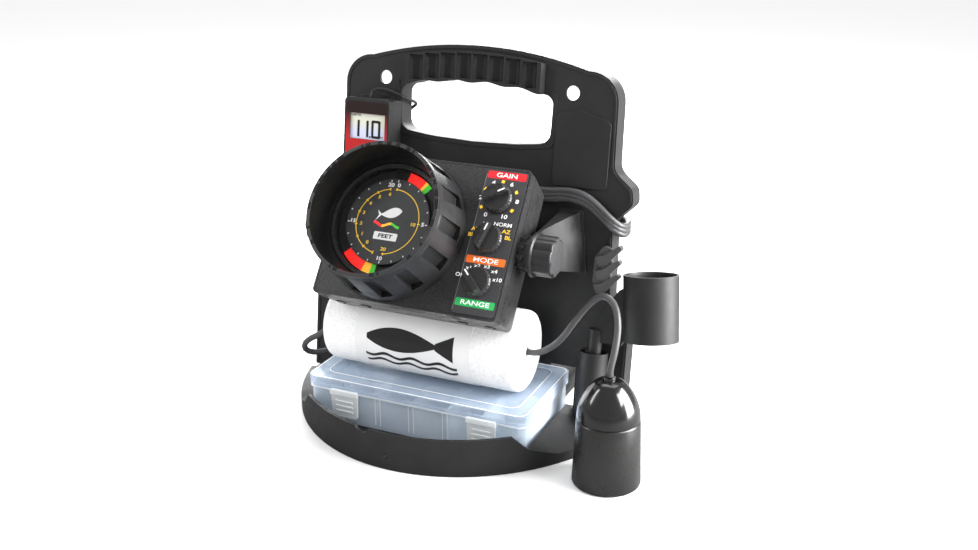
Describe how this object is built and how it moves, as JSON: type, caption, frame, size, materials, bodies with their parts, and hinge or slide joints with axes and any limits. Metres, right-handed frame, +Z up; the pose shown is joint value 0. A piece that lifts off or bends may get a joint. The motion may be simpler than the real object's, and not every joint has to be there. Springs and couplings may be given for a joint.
{
  "type": "portable fish finder pack",
  "caption": "Carry pack for a tilting dial sonar head, with a leaning handle panel, D-shaped base, foam float, tackle tray, rod cup, depth meter and weighted transducer.",
  "frame": {"origin": "on the ground under the case panel foot, in the middle of the base width", "axes": "+X to the pack right side as seen from the front, -Y towards the front, +Z up"},
  "size_m": [0.3618, 0.2561, 0.324],
  "materials": {
    "matte_black": "fine moulded texture",
    "satin_black": "satin",
    "gloss_black": "polished",
    "black_rubber": "soft satin",
    "grey_cable": "smooth sheath",
    "white_foam": "expanded bead foam",
    "film": "thin film",
    "clear_plastic": "translucent moulded",
    "clear_lens": "clear",
    "printed_dial": "printed",
    "control_label": "printed film",
    "meter_label": "printed film",
    "meter_screen": "liquid crystal display",
    "green_board": "solder resist",
    "battery_grey": "moulded",
    "webbing": "woven",
    "steel": "plated"
  },
  "bodies": {
    "pack": {"arm_screw_left_1": "steel", "arm_screw_left_2": "steel", "arm_screw_right_1": "steel", "arm_screw_right_2": "steel", "base_pan": "matte_black", "battery": "battery_grey", "battery_box": "matte_black", "battery_strap": "webbing", "cable_tail": "grey_cable", "cable_winding": "grey_cable", "case_panel": "matte_black", "case_screw_left": "steel", "case_screw_right": "steel", "float_body": "white_foam", "float_sleeve": "film", "line_comb": "black_rubber", "meter_case": "satin_black", "meter_face": "meter_label", "meter_lead": "satin_black", "meter_plug": "satin_black", "meter_screen": "meter_screen", "rod_socket": "matte_black", "transducer_body": "satin_black", "transducer_cable": "grey_cable", "transducer_dome": "gloss_black", "tray_body": "clear_plastic", "tray_dividers": "clear_plastic", "tray_lid": "clear_plastic", "yoke_arm_left": "matte_black", "yoke_arm_right": "matte_black"},
    "head": {"head_bezel": "satin_black", "head_housing": "satin_black", "head_gasket": "black_rubber", "control_overlay": "control_label", "dial_plate": "printed_dial", "display_lens": "clear_lens", "display_motor": "steel", "main_board": "green_board", "gain_pot": "steel", "mode_switch": "steel", "range_switch": "steel", "power_socket": "satin_black", "transducer_socket": "satin_black", "transducer_plug": "black_rubber", "flash_lamp": "clear_lens", "tilt_ratchet_left": "satin_black", "tilt_ratchet_right": "satin_black", "clamp_stud_left": "steel", "clamp_stud_right": "steel"},
    "sun_hood": {"sun_hood": "black_rubber"},
    "flash_disc": {"flash_disc": "gloss_black"},
    "gain_knob": {"gain_knob": "satin_black"},
    "mode_knob": {"mode_knob": "satin_black"},
    "range_knob": {"range_knob": "satin_black"},
    "clamp_knob_left": {"clamp_knob_left": "satin_black"},
    "clamp_knob_right": {"clamp_knob_right": "satin_black"},
    "rod_holder": {"rod_holder": "matte_black"},
    "tray_latch_left": {"tray_latch_left": "clear_plastic"},
    "tray_latch_right": {"tray_latch_right": "clear_plastic"}
  },
  "joints": [
    {"name": "head_tilt", "type": "hinge", "parent": "pack", "child": "head", "pos_m": [0, -0.0297, 0.1752], "axis": [-1, 0, 0], "range_deg": [0, 40]},
    {"name": "clamp_right_turn", "type": "hinge", "parent": "head", "child": "clamp_knob_right", "pos_m": [0.105, -0.0297, 0.1752], "axis": [1, 0, 0], "continuous": true},
    {"name": "clamp_left_turn", "type": "hinge", "parent": "head", "child": "clamp_knob_left", "pos_m": [-0.105, -0.0297, 0.1752], "axis": [1, 0, 0], "continuous": true},
    {"name": "hood_pull", "type": "slide", "parent": "head", "child": "sun_hood", "axis": [0, -0.809, 0.5878], "range_m": [0, 0.03]},
    {"name": "disc_spin", "type": "hinge", "parent": "head", "child": "flash_disc", "pos_m": [-0.0225, -0.05947, 0.19547], "axis": [0, -0.809, 0.5878], "continuous": true},
    {"name": "gain_turn", "type": "hinge", "parent": "head", "child": "gain_knob", "pos_m": [0.062, -0.02675, 0.21669], "axis": [0, -0.809, 0.5878], "range_deg": [-90, 210]},
    {"name": "mode_turn", "type": "hinge", "parent": "head", "child": "mode_knob", "pos_m": [0.062, -0.0472, 0.18854], "axis": [0, -0.809, 0.5878], "range_deg": [-60, 90]},
    {"name": "range_turn", "type": "hinge", "parent": "head", "child": "range_knob", "pos_m": [0.062, -0.06883, 0.15876], "axis": [0, -0.809, 0.5878], "range_deg": [-120, 30]},
    {"name": "rod_holder_turn", "type": "hinge", "parent": "pack", "child": "rod_holder", "pos_m": [0.132, 0.0196, 0.076], "axis": [0, 0.2079, 0.9781], "range_deg": [-20, 4]},
    {"name": "latch_right_hinge", "type": "hinge", "parent": "pack", "child": "tray_latch_right", "pos_m": [0.066, -0.0715, 0.0385], "axis": [-1, 0, 0], "range_deg": [0, 40]},
    {"name": "latch_left_hinge", "type": "hinge", "parent": "pack", "child": "tray_latch_left", "pos_m": [-0.066, -0.0715, 0.0385], "axis": [-1, 0, 0], "range_deg": [0, 40]}
  ]
}
